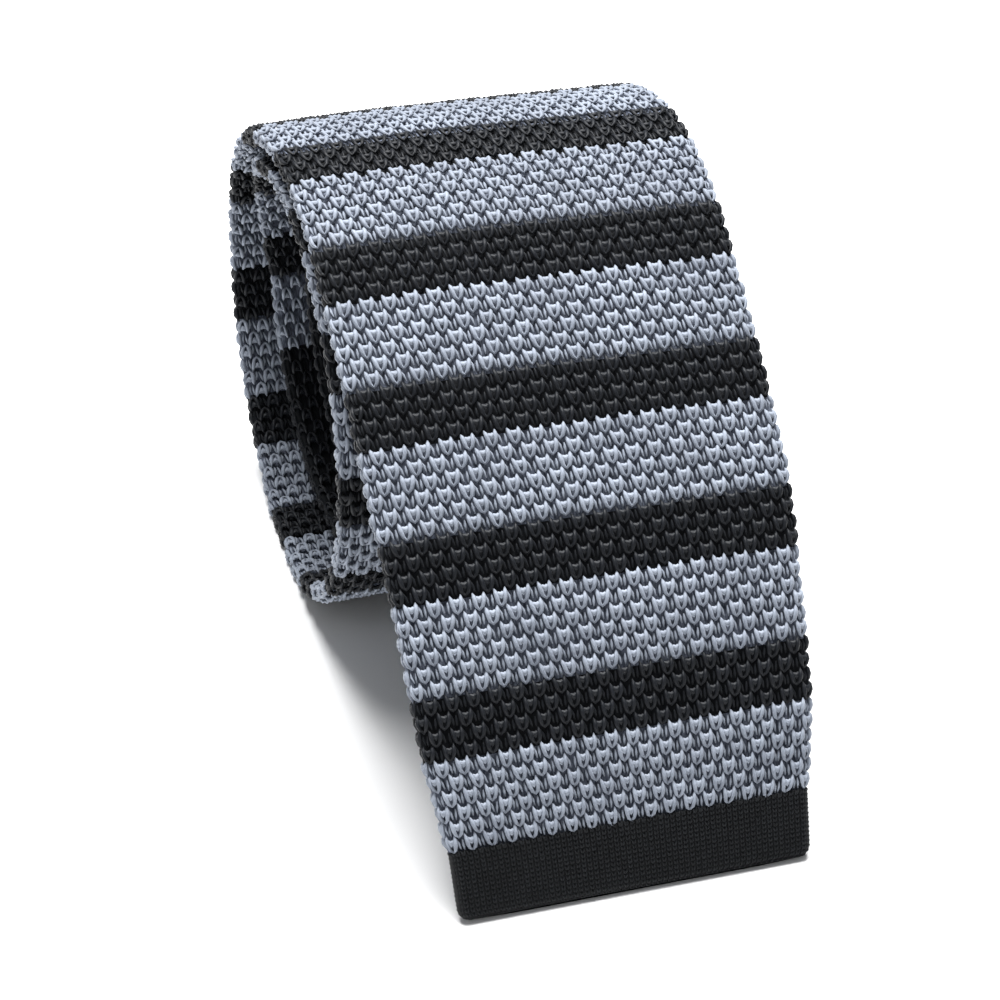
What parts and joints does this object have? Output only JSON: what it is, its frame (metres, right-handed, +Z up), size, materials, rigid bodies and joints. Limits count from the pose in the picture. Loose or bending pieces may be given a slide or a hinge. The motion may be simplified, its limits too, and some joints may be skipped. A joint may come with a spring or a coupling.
{
  "type": "rolled square-end knit necktie",
  "caption": "Striped knit necktie wound into a roll, its square wide end lying over the front and standing on its plain end band.",
  "frame": {"origin": "on the ground under the middle of the tie's bounding box", "axes": "+X across the tie, along the roll's axis; -Y towards the side the free end falls on; +Z up"},
  "size_m": [0.058, 0.1222, 0.0728],
  "materials": {
    "striped_knit": "open tuck knit of smooth polyester yarn, stripes of pale blue-grey and black",
    "plain_knit": "fine plain knit of black polyester yarn, ribs along the tie",
    "sewing_thread": "black sewing thread",
    "label_ribbon": "plain woven ribbon, blank"
  },
  "bodies": {
    "roll": {"wide_blade_rolled": "striped_knit", "neck_section": "striped_knit", "tail_blade": "striped_knit", "keeper_loop": "striped_knit", "tail_end_band": "plain_knit", "back_seam_rolled": "sewing_thread", "back_seam_neck": "sewing_thread", "back_seam_tail": "sewing_thread", "keeper_tack_left": "sewing_thread", "keeper_tack_right": "sewing_thread", "care_tack_left": "sewing_thread", "care_tack_right": "sewing_thread", "tail_end_tack": "sewing_thread", "wide_to_neck_join": "sewing_thread", "neck_to_tail_join": "sewing_thread", "care_label": "label_ribbon"},
    "free_end": {"wide_end_band": "plain_knit", "wide_blade_free": "striped_knit", "back_seam_free": "sewing_thread", "wide_end_tack": "sewing_thread"}
  },
  "joints": [
    {"name": "free_end_lift", "type": "hinge", "parent": "roll", "child": "free_end", "pos_m": [0, -0.00215, 0.06725], "axis": [-1, 0, 0], "range_deg": [0, 75]}
  ]
}
